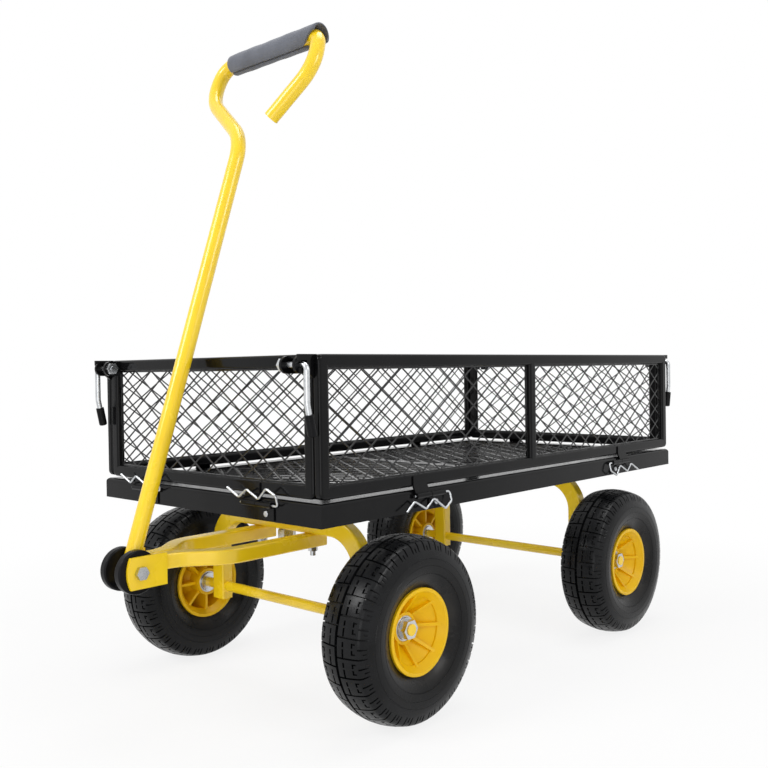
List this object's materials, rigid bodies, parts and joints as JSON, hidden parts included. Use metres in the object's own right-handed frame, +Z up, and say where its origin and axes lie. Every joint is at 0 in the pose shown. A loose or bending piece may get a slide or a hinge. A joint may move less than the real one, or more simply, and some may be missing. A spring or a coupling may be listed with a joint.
{
  "type": "mesh garden cart",
  "caption": "Four-wheeled garden cart with a net bed, fold-down net sides with corner latches, a steered front arch and a tilting pull handle with a loop grip.",
  "frame": {"origin": "on the ground under the middle of the whole cart", "axes": "+X to the cart's right side as seen from behind the handle looking to the rear, +Y to the rear, +Z up"},
  "size_m": [0.554, 1.11, 0.9761],
  "materials": {
    "black_paint": "gloss black paint",
    "yellow_paint": "gloss warm yellow paint",
    "zinc": "bright zinc plate",
    "tyre": "matt black rubber with a block tread",
    "yellow_plastic": "moulded yellow",
    "black_plastic": "matt black",
    "foam": "dark blue-grey foam"
  },
  "bodies": {
    "bed": {"bed_frame": "black_paint", "bed_cross_beams": "black_paint", "floor_net_front": "black_paint", "floor_net_rear": "black_paint", "hinge_leaves": "black_paint", "hinge_screws": "zinc", "bed_hinge_clips": "zinc", "rear_arch": "yellow_paint", "rear_arch_bolts": "zinc", "rear_axle": "yellow_paint", "rear_axle_fasteners": "zinc", "turntable_upper_plate": "black_paint", "kingpin": "zinc"},
    "steering": {"turntable_lower_plate": "yellow_paint", "front_arch": "yellow_paint", "front_axle": "yellow_paint", "front_axle_fasteners": "zinc", "yoke_bar_right": "yellow_paint", "yoke_bar_left": "yellow_paint", "yoke_bolts": "zinc", "clevis_ears": "yellow_paint", "pivot_bolt": "zinc"},
    "handle": {"handle_tube": "yellow_paint", "handle_grip": "foam", "pivot_discs": "black_plastic"},
    "front_right_wheel": {"front_right_tyre": "tyre", "front_right_rim": "yellow_plastic", "front_right_bearings": "black_plastic"},
    "front_left_wheel": {"front_left_tyre": "tyre", "front_left_rim": "yellow_plastic", "front_left_bearings": "black_plastic"},
    "rear_right_wheel": {"rear_right_tyre": "tyre", "rear_right_rim": "yellow_plastic", "rear_right_bearings": "black_plastic"},
    "rear_left_wheel": {"rear_left_tyre": "tyre", "rear_left_rim": "yellow_plastic", "rear_left_bearings": "black_plastic"},
    "front_panel": {"front_panel_frame": "black_paint", "front_panel_net": "black_paint", "front_hinge_clips": "zinc"},
    "right_panel": {"right_panel_frame": "black_paint", "right_panel_net": "black_paint"},
    "rear_panel": {"rear_panel_frame": "black_paint", "rear_panel_net": "black_paint"},
    "left_panel": {"left_panel_frame": "black_paint", "left_panel_net": "black_paint"},
    "front_right_latch": {"front_right_latch_lever": "zinc", "front_right_latch_grip": "black_plastic", "front_right_latch_nut": "zinc"},
    "front_left_latch": {"front_left_latch_lever": "zinc", "front_left_latch_grip": "black_plastic", "front_left_latch_nut": "zinc"},
    "rear_right_latch": {"rear_right_latch_lever": "zinc", "rear_right_latch_grip": "black_plastic", "rear_right_latch_nut": "zinc"},
    "rear_left_latch": {"rear_left_latch_lever": "zinc", "rear_left_latch_grip": "black_plastic", "rear_left_latch_nut": "zinc"}
  },
  "joints": [
    {"name": "steering_turn", "type": "hinge", "parent": "bed", "child": "steering", "pos_m": [0, -0.251, 0.27597], "axis": [0, 0, 1], "range_deg": [-18, 18]},
    {"name": "handle_pivot", "type": "hinge", "parent": "steering", "child": "handle", "pos_m": [0, -0.526, 0.22097], "axis": [1, 0, 0], "range_deg": [0, 120]},
    {"name": "front_right_wheel_spin", "type": "hinge", "parent": "steering", "child": "front_right_wheel", "pos_m": [0.235, -0.251, 0.12747], "axis": [1, 0, 0], "continuous": true},
    {"name": "front_left_wheel_spin", "type": "hinge", "parent": "steering", "child": "front_left_wheel", "pos_m": [-0.235, -0.251, 0.12747], "axis": [1, 0, 0], "continuous": true},
    {"name": "rear_right_wheel_spin", "type": "hinge", "parent": "bed", "child": "rear_right_wheel", "pos_m": [0.235, 0.325, 0.12747], "axis": [1, 0, 0], "continuous": true},
    {"name": "rear_left_wheel_spin", "type": "hinge", "parent": "bed", "child": "rear_left_wheel", "pos_m": [-0.235, 0.325, 0.12747], "axis": [1, 0, 0], "continuous": true},
    {"name": "front_panel_fold", "type": "hinge", "parent": "bed", "child": "front_panel", "pos_m": [0, -0.416, 0.30697], "axis": [1, 0, 0], "range_deg": [0, 2.5]},
    {"name": "rear_panel_fold", "type": "hinge", "parent": "bed", "child": "rear_panel", "pos_m": [0, 0.534, 0.30697], "axis": [-1, 0, 0], "range_deg": [0, 165]},
    {"name": "right_panel_fold", "type": "hinge", "parent": "bed", "child": "right_panel", "pos_m": [0.2525, 0.059, 0.30697], "axis": [0, 1, 0], "range_deg": [0, 160]},
    {"name": "left_panel_fold", "type": "hinge", "parent": "bed", "child": "left_panel", "pos_m": [-0.2525, 0.059, 0.30697], "axis": [0, -1, 0], "range_deg": [0, 160]},
    {"name": "front_right_latch_swing", "type": "hinge", "parent": "front_panel", "child": "front_right_latch", "pos_m": [0.22, -0.426, 0.48697], "axis": [-1, 0, 0], "range_deg": [0, 110]},
    {"name": "front_left_latch_swing", "type": "hinge", "parent": "front_panel", "child": "front_left_latch", "pos_m": [-0.22, -0.426, 0.48697], "axis": [-1, 0, 0], "range_deg": [0, 110]},
    {"name": "rear_right_latch_swing", "type": "hinge", "parent": "rear_panel", "child": "rear_right_latch", "pos_m": [0.22, 0.544, 0.48697], "axis": [1, 0, 0], "range_deg": [0, 110]},
    {"name": "rear_left_latch_swing", "type": "hinge", "parent": "rear_panel", "child": "rear_left_latch", "pos_m": [-0.22, 0.544, 0.48697], "axis": [1, 0, 0], "range_deg": [0, 110]}
  ]
}
